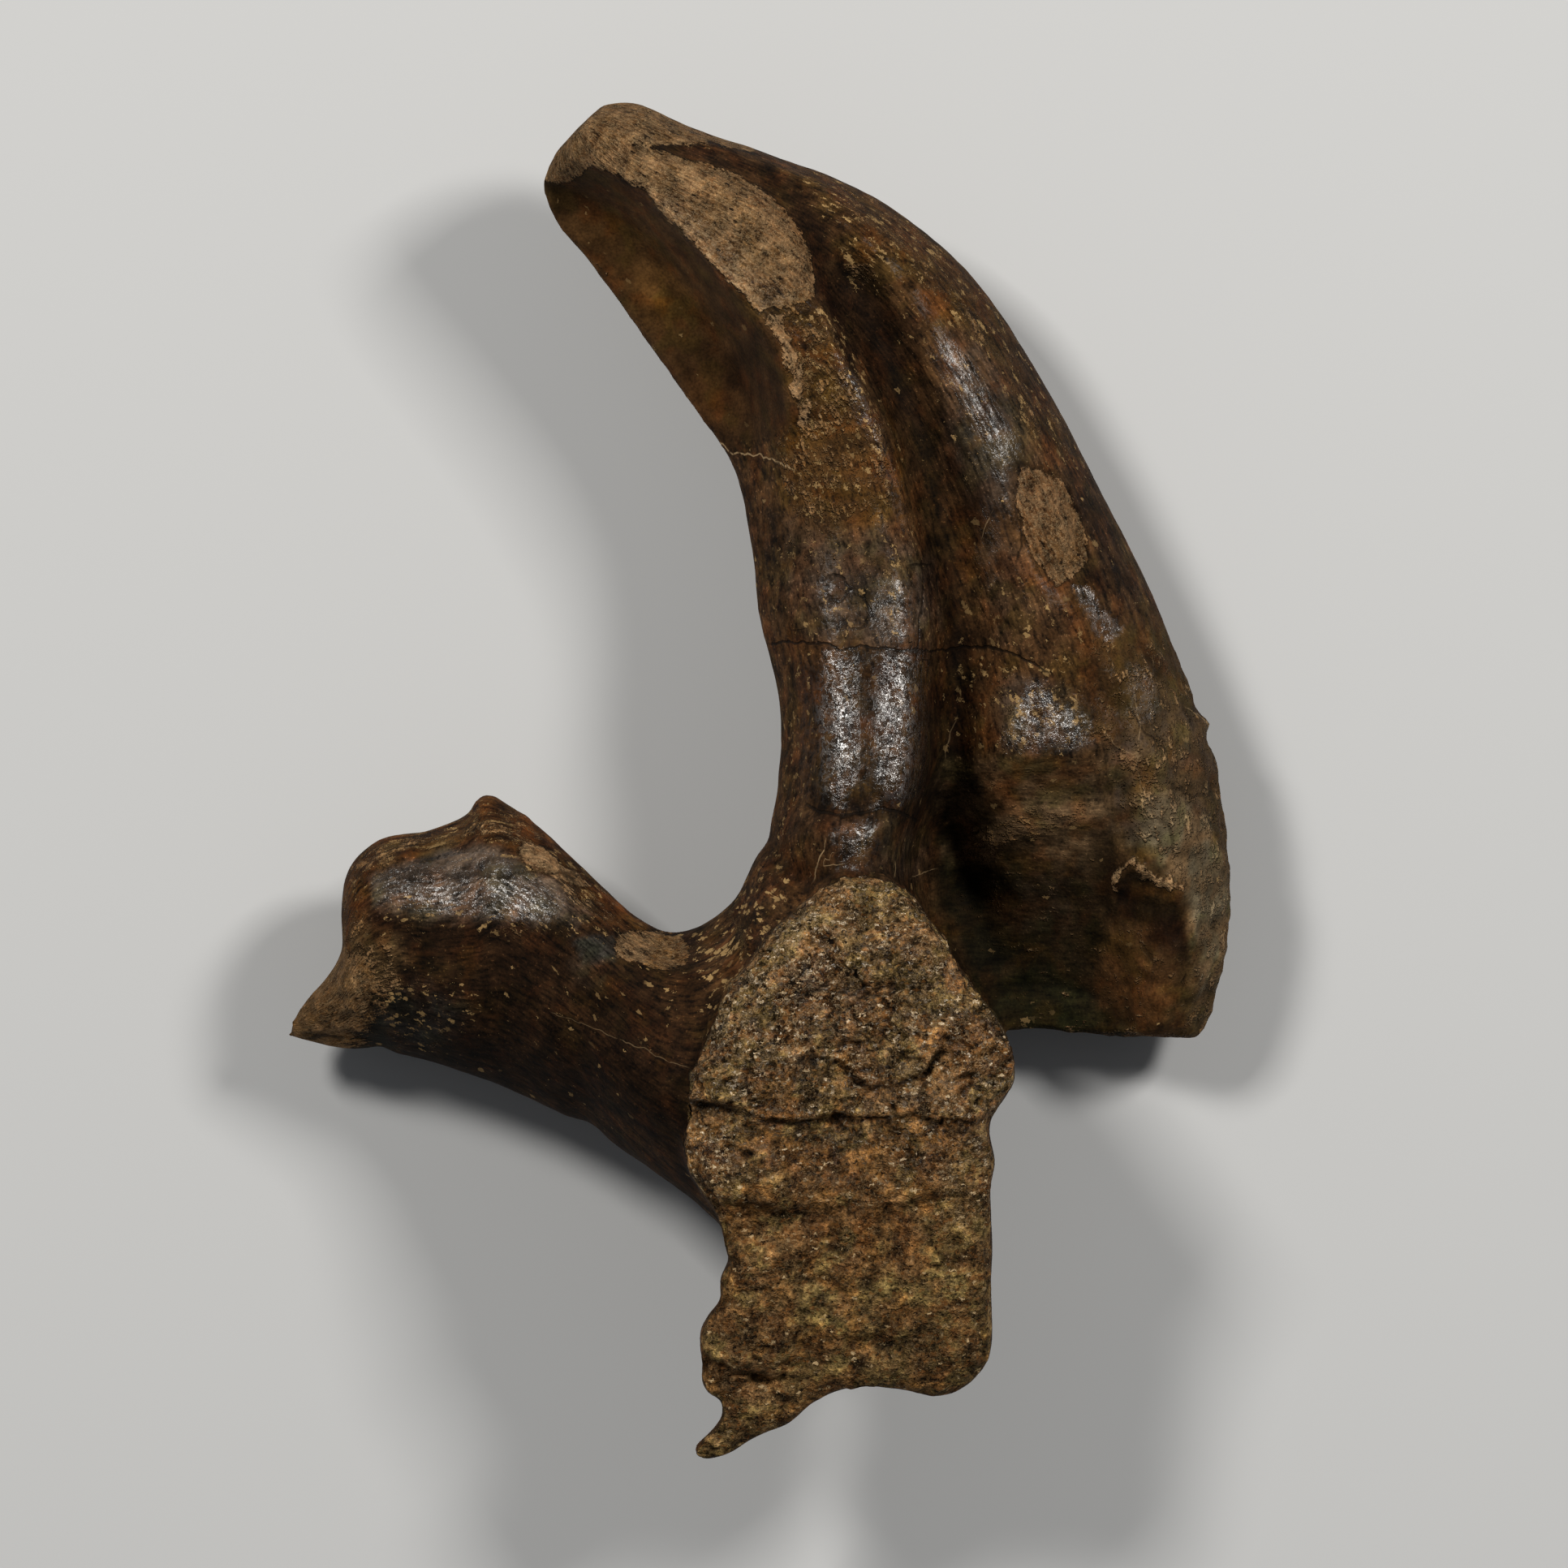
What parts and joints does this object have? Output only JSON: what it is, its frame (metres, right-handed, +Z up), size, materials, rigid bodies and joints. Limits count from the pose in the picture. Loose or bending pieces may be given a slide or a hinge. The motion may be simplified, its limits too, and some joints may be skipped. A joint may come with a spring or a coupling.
{
  "type": "fossil vertebra process",
  "caption": "Broken arch of a duck-billed dinosaur's neck vertebra, a dark fossil: curved horn with a dished joint face, side process, and pedicle with a rough suture face.",
  "frame": {"origin": "centre of the bounding box in plan, on the ground that the bone lies on", "axes": "+Y towards the horn's tip, +X towards the roof of the nerve canal, +Z up, towards the suture face"},
  "size_m": [0.14, 0.2, 0.0639],
  "materials": {
    "bone": "dark brown fossil bone with a dull shine, tan where it is worn and on the rough suture face"
  },
  "bodies": {
    "root": {"vertebra_process": "bone"}
  },
  "joints": []
}
